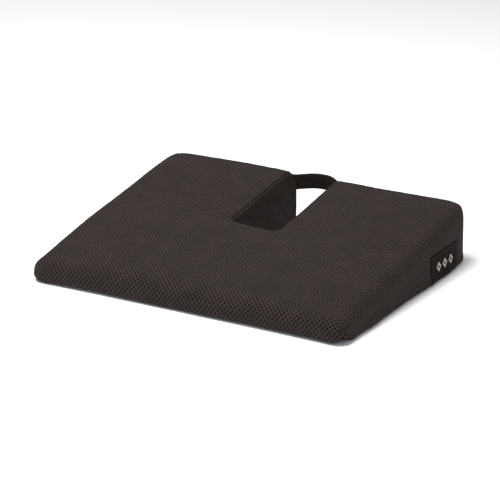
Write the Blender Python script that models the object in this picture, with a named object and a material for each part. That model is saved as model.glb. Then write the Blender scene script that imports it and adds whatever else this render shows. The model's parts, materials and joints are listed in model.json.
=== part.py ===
"""A coccyx wedge seat cushion: a foam wedge in a zipped mesh cover with a webbing handle.

Metres, +Z up. +X is the sitter's right and the side with the label, -Y the thin front edge,
+Y the thick rear edge with the tailbone cut-out. The origin is on the floor, in the middle of
the whole object's plan, handle included.
"""

from math import atan2, cos, hypot, pi, radians, sin, tan

import bmesh
import bpy
from mathutils import Matrix, Vector

# Overall size of the covered cushion.
WIDTH = 0.457
DEPTH = 0.355
REAR_HEIGHT = 0.083
FRONT_HEIGHT = 0.028
REAR_CORNER_RADIUS = 0.022
FRONT_CORNER_RADIUS = 0.014
REAR_BOTTOM_RADIUS = 0.0008
REAR_TOP_RADIUS = 0.0016
NOSE_TOP_RADIUS = 0.011
NOSE_BOTTOM_RADIUS = 0.006
UNDERCUT_RADIUS = 0.010
UNDERCUT_HEIGHT = 0.009
UNDERCUT_RUN = 0.028

# The tailbone cut-out, open to the rear and through the cushion.
CUTOUT_WIDTH = 0.072
CUTOUT_DEPTH = 0.174
CUTOUT_INNER_RADIUS = 0.009
LOBE_CORNER_RADIUS = 0.006

# Cover, core and the room between them.
MESH_THICKNESS = 0.003
BOTTOM_THICKNESS = 0.002
TOUCH_GAP = 0.0003
CORE_CLEARANCE = 0.0006
TOPPER_THICKNESS = 0.015
CORE_ZIP_RELIEF = 0.0045

# Zip under the front edge.
TAPE_THICKNESS = 0.0006
COIL_WIDTH = 0.0022
COIL_THICKNESS = 0.0016
CHAIN_GAP = 0.0016
FRONT_TAPE_WIDTH = 0.0035
ZIP_END_MARGIN = 0.030
STOP_LENGTH = 0.004
STOP_WALL = 0.0008
SLIDER_LENGTH = 0.011
SLIDER_WIDTH = 0.0085
SLIDER_PLATE = 0.0009
SLIDER_TAIL_WIDTH = 0.0068
SLIDER_CORNER_RADIUS = 0.0015
SLIDER_NECK_LENGTH = 0.0025
SLIDER_NECK_INSET = 0.0005
SLIDER_PARKING = 0.004
CROWN_PIN_RADIUS = 0.0005
CROWN_EAR_LENGTH = 0.0022
CROWN_EAR_WIDTH = 0.0009
CROWN_EAR_RIM = 0.0003
CROWN_EAR_INSET = 0.0004
PULL_LENGTH = 0.024
PULL_WIDTH = 0.0072
PULL_TIP_WIDTH = 0.0052
PULL_THICKNESS = 0.0011
PULL_TIP_RADIUS = 0.0016
PULL_CLEARANCE = 0.0002
PULL_EYE_WALL = 0.0005
KNUCKLE_INSET = 0.0001

# Webbing handle across the back of the cut-out.
WEBBING_WIDTH = 0.022
WEBBING_THICKNESS = 0.0018
WEBBING_BELOW_TOP = 0.005
HANDLE_BOW = 0.020
HANDLE_SEWN_LENGTH = 0.042
HANDLE_END_CLEARANCE = 0.0010
STITCH_INSET = 0.004
STITCH_WIDTH = 0.0011
STITCH_HEIGHT = 0.0006
HANDLE_SPANS = 24

# Woven label on the right side band.
LABEL_LENGTH = 0.088
LABEL_HEIGHT = 0.038
LABEL_THICKNESS = 0.0007
LABEL_CORNER_RADIUS = 0.0012
LABEL_FROM_REAR = 0.023
LABEL_ABOVE_FLOOR = 0.003

# Modelling values: steps in an arc, the most of an edge that one arc may take, sides of a pin,
# smallest radius, how far cutters run past, a far limit and the angle that stays a sharp edge.
ARC_STEPS = 6
REACH_SHARE = 0.49
PIN_SIDES = 12
LEAST_RADIUS = 0.0006
OVERSHOOT = 0.010
BEYOND = 0.6
SHARP_ANGLE = radians(35)

HANDLE_REACH = TOUCH_GAP + HANDLE_BOW + WEBBING_THICKNESS
FRONT_Y = -(DEPTH + HANDLE_REACH) / 2
REAR_Y = FRONT_Y + DEPTH
HALF_WIDTH = WIDTH / 2
HALF_CUTOUT = CUTOUT_WIDTH / 2


# ---------------------------------------------------------------- outlines

def offset_corners(corners, insets):
    """Corners of an anticlockwise outline after each edge has moved inward by its own inset.

    insets[i] belongs to the edge from corners[i] to the next corner.
    """
    moved = []
    count = len(corners)
    for i in range(count):
        before = Vector(corners[i]) - Vector(corners[i - 1])
        after = Vector(corners[(i + 1) % count]) - Vector(corners[i])
        in_before = Vector((-before.y, before.x)).normalized()
        in_after = Vector((-after.y, after.x)).normalized()
        a, b = insets[i - 1], insets[i]
        across = in_before.x * in_after.y - in_before.y * in_after.x
        shift_x = (a * in_after.y - b * in_before.y) / across
        shift_y = (b * in_before.x - a * in_after.x) / across
        moved.append((corners[i][0] + shift_x, corners[i][1] + shift_y))
    return moved


def rounded(corners, radii):
    """The outline with each corner replaced by an arc; returns one list of points per corner."""
    arcs = []
    count = len(corners)
    for i in range(count):
        here = Vector(corners[i])
        to_before = (Vector(corners[i - 1]) - here)
        to_after = (Vector(corners[(i + 1) % count]) - here)
        angle = to_before.angle(to_after)
        reach = radii[i] / tan(angle / 2)
        reach = min(reach, to_before.length * REACH_SHARE, to_after.length * REACH_SHARE)
        radius = reach * tan(angle / 2)
        inward = (to_before.normalized() + to_after.normalized()).normalized()
        centre = here + inward * (radius / sin(angle / 2))
        first = here + to_before.normalized() * reach - centre
        last = here + to_after.normalized() * reach - centre
        sweep = first.angle_signed(last)
        arc = []
        for step in range(ARC_STEPS + 1):
            turned = Matrix.Rotation(-sweep * step / ARC_STEPS, 2) @ first
            arc.append(tuple(centre + turned))
        arcs.append(arc)
    return arcs


def flat(arcs):
    return [point for arc in arcs for point in arc]


def plan_corners():
    """The U seen from above, anticlockwise from the front left corner."""
    cut_end = REAR_Y - CUTOUT_DEPTH
    corners = [
        (-HALF_WIDTH, FRONT_Y), (HALF_WIDTH, FRONT_Y),
        (HALF_WIDTH, REAR_Y), (HALF_CUTOUT, REAR_Y),
        (HALF_CUTOUT, cut_end), (-HALF_CUTOUT, cut_end),
        (-HALF_CUTOUT, REAR_Y), (-HALF_WIDTH, REAR_Y),
    ]
    radii = [
        FRONT_CORNER_RADIUS, FRONT_CORNER_RADIUS,
        REAR_CORNER_RADIUS, LOBE_CORNER_RADIUS,
        CUTOUT_INNER_RADIUS, CUTOUT_INNER_RADIUS,
        LOBE_CORNER_RADIUS, REAR_CORNER_RADIUS,
    ]
    return corners, radii


HOLLOW_CORNERS = (4, 5)


def plan_outline(inset):
    """The plan outline moved inward, corner by corner."""
    corners, radii = plan_corners()
    corners = offset_corners(corners, [inset] * len(corners))
    kept = []
    for i, radius in enumerate(radii):
        grown = radius + inset if i in HOLLOW_CORNERS else radius - inset
        kept.append(max(grown, LEAST_RADIUS))
    return rounded(corners, kept)


def profile_corners():
    """The side view as (y, z), anticlockwise from the bottom rear corner."""
    return [
        (REAR_Y, 0), (REAR_Y, REAR_HEIGHT), (FRONT_Y, FRONT_HEIGHT),
        (FRONT_Y, UNDERCUT_HEIGHT), (FRONT_Y + UNDERCUT_RUN, 0),
    ]


PROFILE_RADII = (
    REAR_BOTTOM_RADIUS, REAR_TOP_RADIUS, NOSE_TOP_RADIUS, NOSE_BOTTOM_RADIUS, UNDERCUT_RADIUS,
)
REAR_BOTTOM, REAR_TOP, NOSE_TOP, NOSE_BOTTOM, UNDERCUT_END = range(5)


def profile_outline(rear, top, nose, undercut, bottom):
    """The side view with each edge moved inward by its own amount, as one arc per corner."""
    insets = [rear, top, nose, undercut, bottom]
    corners = offset_corners(profile_corners(), insets)
    kept = []
    for i, radius in enumerate(PROFILE_RADII):
        kept.append(max(radius - min(insets[i - 1], insets[i]), LEAST_RADIUS))
    return rounded(corners, kept)


def undercut_frame():
    """Where the zip lies: start of the sloping underside, its direction and its outward normal."""
    start = Vector((0, FRONT_Y, UNDERCUT_HEIGHT))
    end = Vector((0, FRONT_Y + UNDERCUT_RUN, 0))
    along = (end - start).normalized()
    outward = Vector((0, along.z, -along.y))
    return start, along, outward


# ---------------------------------------------------------------- solids

def add_object(name, bm):
    bmesh.ops.recalc_face_normals(bm, faces=bm.faces)
    mesh = bpy.data.meshes.new(name)
    bm.to_mesh(mesh)
    bm.free()
    obj = bpy.data.objects.new(name, mesh)
    bpy.context.scene.collection.objects.link(obj)
    return obj


def prism(name, outline, axis, low, high):
    """The outline pushed out along X (outline in y, z) or Z (outline in x, y)."""
    bm = bmesh.new()
    rings = []
    for level in (low, high):
        ring = []
        for u, v in outline:
            place = (level, u, v) if axis == "X" else (u, v, level)
            ring.append(bm.verts.new(place))
        rings.append(ring)
    count = len(outline)
    for i in range(count):
        j = (i + 1) % count
        bm.faces.new((rings[0][i], rings[0][j], rings[1][j], rings[1][i]))
    bm.faces.new(rings[0])
    bm.faces.new(rings[1])
    return add_object(name, bm)


def combine(target, tool, operation):
    """Apply a Boolean and remove the tool."""
    modifier = target.modifiers.new(operation.lower(), "BOOLEAN")
    modifier.operation = operation
    modifier.solver = "EXACT"
    modifier.object = tool
    graph = bpy.context.evaluated_depsgraph_get()
    graph.update()
    mesh = bpy.data.meshes.new_from_object(target.evaluated_get(graph))
    target.modifiers.clear()
    old = target.data
    target.data = mesh
    bpy.data.meshes.remove(old)
    tool_mesh = tool.data
    bpy.data.objects.remove(tool)
    bpy.data.meshes.remove(tool_mesh)
    mesh.name = target.name


def finish(obj, surface):
    """Give the solid its material and smooth its round faces."""
    obj.data.materials.clear()
    obj.data.materials.append(surface)
    obj.data.shade_smooth()
    obj.data.set_sharp_from_angle(angle=SHARP_ANGLE)


def plan_box(left, right, front, rear):
    return [(left, front), (right, front), (right, rear), (left, rear)]


def plan_prism(inset, low=-BEYOND, high=BEYOND):
    return prism("plan_tool", flat(plan_outline(inset)), "Z", low, high)


def material(name, colour, roughness, metallic=0.0):
    made = bpy.data.materials.new(name)
    made.use_nodes = True
    made.diffuse_color = (*colour, 1)
    shader = made.node_tree.nodes["Principled BSDF"]
    shader.inputs["Base Color"].default_value = (*colour, 1)
    shader.inputs["Roughness"].default_value = roughness
    shader.inputs["Metallic"].default_value = metallic
    return made


# ---------------------------------------------------------------- foam core

def core_outline():
    wall = MESH_THICKNESS + CORE_CLEARANCE
    floor = BOTTOM_THICKNESS + CORE_CLEARANCE
    return profile_outline(wall, wall, wall, CORE_ZIP_RELIEF, floor)


def layer_line(depth):
    """Two points, front and rear, on a line that runs this deep below the top face."""
    rear, front = Vector(profile_corners()[REAR_TOP]), Vector(profile_corners()[NOSE_TOP])
    run = (rear - front).normalized()
    down = Vector((run.y, -run.x)) * depth
    return front + down - run * BEYOND, rear + down + run * BEYOND


def make_core(foam, topper_foam):
    split = MESH_THICKNESS + CORE_CLEARANCE + TOPPER_THICKNESS
    wall = MESH_THICKNESS + CORE_CLEARANCE
    outline = flat(core_outline())
    layer_half = WIDTH + OVERSHOOT

    base = prism("foam_base", outline, "X", -WIDTH, WIDTH)
    front, rear = layer_line(split + TOUCH_GAP)
    below = [(rear.x, -BEYOND), tuple(rear), tuple(front), (front.x, -BEYOND)]
    combine(base, prism("layer_tool", below, "X", -layer_half, layer_half), "INTERSECT")
    combine(base, plan_prism(wall), "INTERSECT")
    finish(base, foam)

    topper = prism("foam_topper", outline, "X", -WIDTH, WIDTH)
    front, rear = layer_line(split)
    above = [tuple(rear), (rear.x, BEYOND), (front.x, BEYOND), tuple(front)]
    combine(topper, prism("layer_tool", above, "X", -layer_half, layer_half), "INTERSECT")
    combine(topper, plan_prism(wall), "INTERSECT")
    finish(topper, topper_foam)


# ---------------------------------------------------------------- cover

def make_top_panel(mesh_fabric):
    """The top sheet, which wraps down over the nose to the front zip tape."""
    t = MESH_THICKNESS
    outer = profile_outline(0, 0, 0, 0, 0)
    inner = profile_outline(0, t, t, t, 0)
    outside = [outer[REAR_TOP][-1]] + outer[NOSE_TOP] + outer[NOSE_BOTTOM]
    inside = inner[NOSE_BOTTOM][::-1] + inner[NOSE_TOP][::-1] + [inner[REAR_TOP][-1]]
    rise = OVERSHOOT * (REAR_HEIGHT - FRONT_HEIGHT) / DEPTH
    rear = [(outside[0][0] + OVERSHOOT, outside[0][1] + rise)]
    rear_low = [(inside[-1][0] + OVERSHOOT, inside[-1][1] + rise)]
    panel = prism("cover_top_panel", rear + outside + inside + rear_low, "X", -WIDTH, WIDTH)
    combine(panel, plan_prism(0), "INTERSECT")
    finish(panel, mesh_fabric)


def make_bottom_panel(grip_fabric):
    """The flat underside, from the rear edge to the rear zip tape."""
    front = profile_outline(0, 0, 0, 0, 0)[UNDERCUT_END][-1][0] + TOUCH_GAP
    panel = plan_prism(0, 0, BOTTOM_THICKNESS)
    panel.name = "cover_bottom_panel"
    keep = plan_box(-WIDTH, WIDTH, front, REAR_Y + OVERSHOOT)
    combine(panel, prism("front_tool", keep, "Z", -BEYOND, BEYOND), "INTERSECT")
    finish(panel, grip_fabric)


def band_room():
    """The side view left between the top sheet, the zip tapes and the bottom sheet."""
    under_top = MESH_THICKNESS + TOUCH_GAP
    over_zip = TAPE_THICKNESS + TOUCH_GAP
    over_bottom = BOTTOM_THICKNESS + TOUCH_GAP
    return profile_outline(-OVERSHOOT, under_top, under_top, max(over_zip, under_top), over_bottom)


def make_bands(side_fabric, boxing_fabric):
    """The upright strips: one round each side and rear lobe, and one that lines the cut-out."""
    seam = HALF_CUTOUT + MESH_THICKNESS
    nose_half = HALF_WIDTH - FRONT_CORNER_RADIUS
    nose_depth = FRONT_Y + MESH_THICKNESS + OVERSHOOT / 5
    for side, sign in (("left", -1), ("right", 1)):
        band = band_ring(f"cover_side_band_{side}")
        left, right = sorted((sign * (seam + TOUCH_GAP), sign * WIDTH))
        keep = plan_box(left, right, FRONT_Y - OVERSHOOT, REAR_Y + OVERSHOOT)
        combine(band, prism("side_tool", keep, "Z", -BEYOND, BEYOND), "INTERSECT")
        nose = plan_box(-nose_half, nose_half, FRONT_Y - OVERSHOOT, nose_depth)
        combine(band, prism("nose_tool", nose, "Z", -BEYOND, BEYOND), "DIFFERENCE")
        finish(band, side_fabric)

    boxing = band_ring("cover_cutout_boxing")
    cut_end = REAR_Y - CUTOUT_DEPTH - MESH_THICKNESS - OVERSHOOT
    keep = plan_box(-seam, seam, cut_end, REAR_Y + OVERSHOOT)
    combine(boxing, prism("boxing_tool", keep, "Z", -BEYOND, BEYOND), "INTERSECT")
    finish(boxing, boxing_fabric)


def band_ring(name):
    """The whole upright wall of the cover, before it is parted into strips."""
    ring = prism(name, flat(band_room()), "X", -WIDTH, WIDTH)
    combine(ring, plan_prism(0), "INTERSECT")
    combine(ring, plan_prism(MESH_THICKNESS), "DIFFERENCE")
    return ring


def make_label(label_satin):
    """A blank woven patch sewn on the right side band."""
    rear, low = REAR_Y - LABEL_FROM_REAR, LABEL_ABOVE_FLOOR
    outline = plan_box(rear - LABEL_LENGTH, rear, low, low + LABEL_HEIGHT)
    near = HALF_WIDTH + TOUCH_GAP
    label = prism("side_label", flat(rounded(outline, [LABEL_CORNER_RADIUS] * 4)), "X", near,
                  near + LABEL_THICKNESS)
    finish(label, label_satin)


# ---------------------------------------------------------------- zip

def zip_place(x, along, outward):
    """A point on the zip: x across the cushion, along the slope from its middle, and outward."""
    start, slope, normal = undercut_frame()
    return Vector((x, 0, 0)) + start + slope * (zip_middle() + along) + normal * outward


def zip_middle():
    """Distance down the slope from its sharp upper corner to the middle of the chain."""
    start, slope, _ = undercut_frame()
    top = profile_outline(0, 0, 0, 0, 0)[NOSE_BOTTOM][-1]
    seam = (Vector((0, *top)) - start).dot(slope)
    return seam + TOUCH_GAP + FRONT_TAPE_WIDTH + TOUCH_GAP + COIL_WIDTH + CHAIN_GAP / 2


def zip_block(name, x_range, along_range, outward_range):
    """A box in the zip's own directions."""
    bm = bmesh.new()
    corners = {}
    for i, x in enumerate(x_range):
        for j, along in enumerate(along_range):
            for k, out in enumerate(outward_range):
                corners[i, j, k] = bm.verts.new(zip_place(x, along, out))
    for fixed in range(3):
        for end in (0, 1):
            face = []
            for a, b in ((0, 0), (0, 1), (1, 1), (1, 0)):
                key = [a, b]
                key.insert(fixed, end)
                face.append(corners[tuple(key)])
            bm.faces.new(face)
    return add_object(name, bm)


def zip_plate(name, outline, low, high):
    """An outline in (x, along) with a thickness outward."""
    bm = bmesh.new()
    rings = []
    for level in (low, high):
        rings.append([bm.verts.new(zip_place(x, along, level)) for x, along in outline])
    count = len(outline)
    for i in range(count):
        j = (i + 1) % count
        bm.faces.new((rings[0][i], rings[0][j], rings[1][j], rings[1][i]))
    bm.faces.new(rings[0])
    bm.faces.new(rings[1])
    return add_object(name, bm)


def round_bar(name, along, outward, radius, x, half_length):
    """A pin that lies down the slope, across the chain."""
    bm = bmesh.new()
    rings = []
    for end in (along - half_length, along + half_length):
        ring = []
        for step in range(PIN_SIDES):
            turn = 2 * pi * step / PIN_SIDES
            place = zip_place(x + radius * cos(turn), end, outward + radius * sin(turn))
            ring.append(bm.verts.new(place))
        rings.append(ring)
    for i in range(PIN_SIDES):
        j = (i + 1) % PIN_SIDES
        bm.faces.new((rings[0][i], rings[0][j], rings[1][j], rings[1][i]))
    bm.faces.new(rings[0])
    bm.faces.new(rings[1])
    return add_object(name, bm)


CHAIN_HALF = HALF_WIDTH - ZIP_END_MARGIN
SLIDER_X = -CHAIN_HALF + SLIDER_PARKING + SLIDER_LENGTH / 2
COIL_OUT = COIL_THICKNESS / 2 - TAPE_THICKNESS / 2
COIL_IN = COIL_OUT - COIL_THICKNESS
PLATE_OUT = COIL_OUT + TOUCH_GAP
PLATE_IN = COIL_IN - TOUCH_GAP
EYE_RADIUS = CROWN_PIN_RADIUS + PULL_CLEARANCE
KNUCKLE_RADIUS = EYE_RADIUS + PULL_EYE_WALL
PIN_OUT = PLATE_OUT + SLIDER_PLATE + PULL_CLEARANCE + KNUCKLE_RADIUS
PIN_X = SLIDER_X - SLIDER_LENGTH / 2 + CROWN_EAR_LENGTH


def make_zip_tapes(tape):
    """Two woven tapes, from the seams to the coils, with their outer face flush with the slope."""
    start, slope, _ = undercut_frame()
    arcs = profile_outline(0, 0, 0, 0, 0)
    seam_front = (Vector((0, *arcs[NOSE_BOTTOM][-1])) - start).dot(slope) + TOUCH_GAP
    seam_rear = (Vector((0, *arcs[UNDERCUT_END][0])) - start).dot(slope)
    middle = zip_middle()
    inner = CHAIN_GAP / 2 + COIL_WIDTH + TOUCH_GAP
    spans = {
        "front": (seam_front - middle, -inner),
        "rear": (inner, seam_rear - middle),
    }
    for name, span in spans.items():
        strip = zip_block(f"zip_tape_{name}", (-WIDTH, WIDTH), span, (-TAPE_THICKNESS, 0))
        combine(strip, plan_prism(0), "INTERSECT")
        finish(strip, tape)


def make_zip_chain(nylon, metal):
    for name, sign in (("front", -1), ("rear", 1)):
        near, far = sign * CHAIN_GAP / 2, sign * (CHAIN_GAP / 2 + COIL_WIDTH)
        span = (min(near, far), max(near, far))
        coil = zip_block(f"zip_coil_{name}", (-CHAIN_HALF, CHAIN_HALF), span, (COIL_IN, COIL_OUT))
        finish(coil, nylon)
    half = CHAIN_GAP / 2 + COIL_WIDTH
    for name, sign in (("closed_end", -1), ("open_end", 1)):
        near = sign * (CHAIN_HALF + TOUCH_GAP)
        far = near + sign * STOP_LENGTH
        stop = zip_block(
            f"zip_stop_{name}", (min(near, far), max(near, far)), (-half, half),
            (COIL_IN + STOP_WALL / 2, COIL_OUT + STOP_WALL / 2),
        )
        finish(stop, metal)


def make_slider(metal):
    """Two plates joined by a neck between the coils, with a crown that carries the pull."""
    half_length, half_width = SLIDER_LENGTH / 2, SLIDER_WIDTH / 2
    half_tail = SLIDER_TAIL_WIDTH / 2
    plate = [
        (SLIDER_X - half_length, -half_tail), (SLIDER_X + half_length, -half_width),
        (SLIDER_X + half_length, half_width), (SLIDER_X - half_length, half_tail),
    ]
    plate = flat(rounded(plate, [SLIDER_CORNER_RADIUS] * 4))
    slider = zip_plate("zip_slider", plate, PLATE_OUT, PLATE_OUT + SLIDER_PLATE)
    inner = zip_plate("inner_plate", plate, PLATE_IN - SLIDER_PLATE, PLATE_IN)
    combine(slider, inner, "UNION")
    neck_half = CHAIN_GAP / 2 - TOUCH_GAP
    neck_x = SLIDER_X + half_length - SLIDER_NECK_INSET
    overlap = SLIDER_PLATE / 2
    neck = zip_block(
        "neck", (neck_x - SLIDER_NECK_LENGTH, neck_x), (-neck_half, neck_half),
        (PLATE_IN - overlap, PLATE_OUT + overlap),
    )
    combine(slider, neck, "UNION")
    ear_inner = pull_half() + PULL_CLEARANCE
    for sign in (-1, 1):
        near, far = sign * ear_inner, sign * (ear_inner + CROWN_EAR_WIDTH)
        ear = zip_block(
            "ear", (PIN_X - CROWN_EAR_LENGTH / 2, PIN_X + CROWN_EAR_LENGTH / 2),
            (min(near, far), max(near, far)),
            (PLATE_OUT + overlap, PIN_OUT + CROWN_PIN_RADIUS + CROWN_EAR_RIM),
        )
        combine(slider, ear, "UNION")
    pin = round_bar("pin", 0, PIN_OUT, CROWN_PIN_RADIUS, PIN_X, ear_inner + CROWN_EAR_WIDTH / 2)
    combine(slider, pin, "UNION")
    finish(slider, metal)


def pull_half():
    """Half the width of the pull's eye, which turns between the crown's ears."""
    return SLIDER_WIDTH / 2 - CROWN_EAR_INSET - CROWN_EAR_WIDTH - PULL_CLEARANCE


def make_pull(metal):
    """A flat tab with an eye round the crown pin; it lies along the closed chain."""
    neck = pull_half()
    start, end = PIN_X - KNUCKLE_RADIUS, PIN_X + PULL_LENGTH
    shoulder, full = PIN_X + CROWN_EAR_LENGTH, PIN_X + 2 * CROWN_EAR_LENGTH
    half_width, half_tip = PULL_WIDTH / 2, PULL_TIP_WIDTH / 2
    outline = [
        (start, -neck), (shoulder, -neck), (full, -half_width), (end, -half_tip),
        (end, half_tip), (full, half_width), (shoulder, neck), (start, neck),
    ]
    near, tip = LEAST_RADIUS, PULL_TIP_RADIUS
    outline = flat(rounded(outline, [near, near, near, tip, tip, near, near, near]))
    half_thickness = PULL_THICKNESS / 2
    tab = zip_plate("zip_pull_tab", outline, PIN_OUT - half_thickness, PIN_OUT + half_thickness)
    knuckle = round_bar("knuckle", 0, PIN_OUT, KNUCKLE_RADIUS, PIN_X, neck - KNUCKLE_INSET)
    combine(tab, knuckle, "UNION")
    eye = round_bar("eye", 0, PIN_OUT, EYE_RADIUS, PIN_X, neck + OVERSHOOT)
    combine(tab, eye, "DIFFERENCE")
    finish(tab, metal)


# ---------------------------------------------------------------- handle

HANDLE_TOP = REAR_HEIGHT - WEBBING_BELOW_TOP
HANDLE_MIDDLE = HANDLE_TOP - WEBBING_WIDTH / 2
STRAP_HALF = HALF_CUTOUT - HANDLE_END_CLEARANCE
SEWN_Y = REAR_Y + TOUCH_GAP


def make_handle(webbing):
    """The free middle of the strap, bowed out behind the cut-out, and its two sewn ends."""
    inside, outside = [], []
    for step in range(HANDLE_SPANS + 1):
        x = -STRAP_HALF + 2 * STRAP_HALF * step / HANDLE_SPANS
        y = SEWN_Y + HANDLE_BOW * (1 + cos(pi * x / STRAP_HALF)) / 2
        slope = -HANDLE_BOW * pi / STRAP_HALF * sin(pi * x / STRAP_HALF) / 2
        normal = Vector((-slope, 1)).normalized() * WEBBING_THICKNESS
        if step in (0, HANDLE_SPANS):
            normal = Vector((0, WEBBING_THICKNESS))
        inside.append((x, y))
        outside.append((x + normal.x, y + normal.y))
    low, high = HANDLE_TOP - WEBBING_WIDTH, HANDLE_TOP
    strap = prism("handle_strap", inside + outside[::-1], "Z", low, high)
    finish(strap, webbing)

    for side, sign in (("left", -1), ("right", 1)):
        near = sign * (STRAP_HALF + TOUCH_GAP)
        far = sign * (HALF_CUTOUT + HANDLE_SEWN_LENGTH)
        span = sorted((near, far))
        outline = [
            (span[0], SEWN_Y), (span[1], SEWN_Y),
            (span[1], SEWN_Y + WEBBING_THICKNESS), (span[0], SEWN_Y + WEBBING_THICKNESS),
        ]
        end = prism(f"handle_end_{side}", outline, "Z", low, high)
        finish(end, webbing)


def make_handle_stitching(thread):
    """A boxed cross of thread on each sewn end, as one raised outline."""
    y = SEWN_Y + WEBBING_THICKNESS + TOUCH_GAP
    z_half = WEBBING_WIDTH / 2 - STITCH_INSET
    for side, sign in (("left", -1), ("right", 1)):
        near = HALF_CUTOUT + STITCH_INSET
        far = HALF_CUTOUT + HANDLE_SEWN_LENGTH - STITCH_INSET
        x_mid, x_half = sign * (near + far) / 2, (far - near) / 2
        name = f"handle_stitching_{side}"
        box = stitch_bar(name, x_mid, y, HANDLE_MIDDLE, x_half, z_half, 0)
        inner_x, inner_z = x_half - STITCH_WIDTH, z_half - STITCH_WIDTH
        hollow = stitch_bar("hollow", x_mid, y, HANDLE_MIDDLE, inner_x, inner_z, OVERSHOOT)
        combine(box, hollow, "DIFFERENCE")
        lean = atan2(z_half - STITCH_WIDTH / 2, x_half - STITCH_WIDTH / 2)
        reach = hypot(x_half, z_half) - STITCH_WIDTH
        for way in (-1, 1):
            cross = stitch_bar("cross", 0, 0, 0, reach, STITCH_WIDTH / 2, 0)
            turn = Matrix.Translation((x_mid, y, HANDLE_MIDDLE)) @ Matrix.Rotation(way * lean, 4, "Y")
            cross.data.transform(turn)
            combine(box, cross, "UNION")
        finish(box, thread)


def stitch_bar(name, x, y, z, x_half, z_half, spare):
    """A bar of thread on the webbing; spare makes a cutter run past both faces."""
    bm = bmesh.new()
    bmesh.ops.create_cube(bm, size=1)
    size = Matrix.Diagonal((2 * x_half, STITCH_HEIGHT + 2 * spare, 2 * z_half, 1))
    bm.transform(Matrix.Translation((x, y + STITCH_HEIGHT / 2, z)) @ size)
    return add_object(name, bm)


# ---------------------------------------------------------------- build

def build():
    for obj in list(bpy.data.objects):
        bpy.data.objects.remove(obj)
    spacer_mesh = material("spacer_mesh", (0.040, 0.033, 0.031), 0.85)
    side_mesh = material("side_mesh", (0.030, 0.025, 0.024), 0.85)
    boxing_mesh = material("boxing_mesh", (0.024, 0.020, 0.019), 0.88)
    grip_fabric = material("grip_fabric", (0.020, 0.020, 0.021), 0.9)
    firm_foam = material("firm_foam", (0.62, 0.60, 0.52), 0.95)
    memory_foam = material("memory_foam", (0.80, 0.79, 0.74), 0.95)
    zip_tape = material("zip_tape", (0.018, 0.018, 0.019), 0.8)
    zip_nylon = material("zip_nylon", (0.015, 0.015, 0.016), 0.45)
    zip_metal = material("zip_metal", (0.05, 0.05, 0.052), 0.4, 0.9)
    webbing = material("webbing", (0.012, 0.011, 0.011), 0.75)
    thread = material("thread", (0.020, 0.019, 0.019), 0.6)
    label_satin = material("label_satin", (0.010, 0.010, 0.012), 0.4)

    make_core(firm_foam, memory_foam)
    make_top_panel(spacer_mesh)
    make_bottom_panel(grip_fabric)
    make_bands(side_mesh, boxing_mesh)
    make_label(label_satin)
    make_zip_tapes(zip_tape)
    make_zip_chain(zip_nylon, zip_metal)
    make_slider(zip_metal)
    make_pull(zip_metal)
    make_handle(webbing)
    make_handle_stitching(thread)


build()
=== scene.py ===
"""Looks of a coccyx wedge cushion: black spacer-mesh cover, plain woven label, webbing handle.

Everything is in metres in the frame's own axes: +X is the side with the label, -Y the thin
front edge, +Y the thick rear edge with the tailbone cut-out, +Z up.
"""

import json
from math import atan2, cos, hypot, pi, radians, sin, tan

import bmesh
import bpy
import numpy as np
from mathutils import Matrix, Vector, noise
from mathutils.bvhtree import BVHTree
from mathutils.kdtree import KDTree

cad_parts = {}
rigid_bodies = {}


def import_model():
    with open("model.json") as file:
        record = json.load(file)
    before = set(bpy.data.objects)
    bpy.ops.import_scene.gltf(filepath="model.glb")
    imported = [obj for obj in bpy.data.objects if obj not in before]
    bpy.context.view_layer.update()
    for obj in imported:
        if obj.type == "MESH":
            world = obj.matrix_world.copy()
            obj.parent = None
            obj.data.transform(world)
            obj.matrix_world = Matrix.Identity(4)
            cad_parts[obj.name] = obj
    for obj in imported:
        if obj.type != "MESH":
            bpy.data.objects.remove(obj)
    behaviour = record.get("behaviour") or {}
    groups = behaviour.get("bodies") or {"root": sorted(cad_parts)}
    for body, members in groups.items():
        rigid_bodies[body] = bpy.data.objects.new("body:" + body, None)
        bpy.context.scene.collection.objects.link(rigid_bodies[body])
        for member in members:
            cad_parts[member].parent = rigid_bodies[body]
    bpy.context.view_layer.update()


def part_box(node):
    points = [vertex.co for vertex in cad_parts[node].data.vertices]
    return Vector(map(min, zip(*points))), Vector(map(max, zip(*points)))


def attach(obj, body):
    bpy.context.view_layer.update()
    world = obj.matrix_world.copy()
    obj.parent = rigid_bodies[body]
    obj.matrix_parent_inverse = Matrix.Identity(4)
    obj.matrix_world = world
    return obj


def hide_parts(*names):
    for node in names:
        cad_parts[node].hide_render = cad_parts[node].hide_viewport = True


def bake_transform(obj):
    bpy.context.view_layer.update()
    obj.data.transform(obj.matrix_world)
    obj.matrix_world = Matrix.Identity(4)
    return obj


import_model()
MM = 0.001

# ---------------------------------------------------------------- sizes from the frame

top_low, top_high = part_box("cover_top_panel")
boxing_low, boxing_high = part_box("cover_cutout_boxing")
tape_front_low, tape_front_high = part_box("zip_tape_front")
tape_rear_low, tape_rear_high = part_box("zip_tape_rear")
PANEL = 3 * MM
HALF_WIDTH = top_high.x
FRONT_Y, REAR_Y = top_low.y, top_high.y
REAR_HEIGHT = top_high.z
FRONT_HEIGHT = 28 * MM
UNDERCUT_HEIGHT = 9 * MM
HALF_CUTOUT = boxing_high.x - PANEL
CUTOUT_END = boxing_low.y + PANEL

# Plan corners and edge roundings. The outline starts a little outside the sharp edges of the
# plain solids, by a negative inset, because the round edges draw it in again.
REAR_CORNER = 21 * MM
LOBE_CORNER = 5 * MM
CUTOUT_CORNER = 9 * MM
OUTER_ROUND = 17 * MM
CUTOUT_ROUND = 5 * MM
BOTTOM_ROUND = 5 * MM
NOSE_TOP_ROUND = 13 * MM
NOSE_BOTTOM_ROUND = 7 * MM
START_INSET = -3.2 * MM
SEAM_SHARE = 1 - 0.5 ** 0.5

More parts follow.
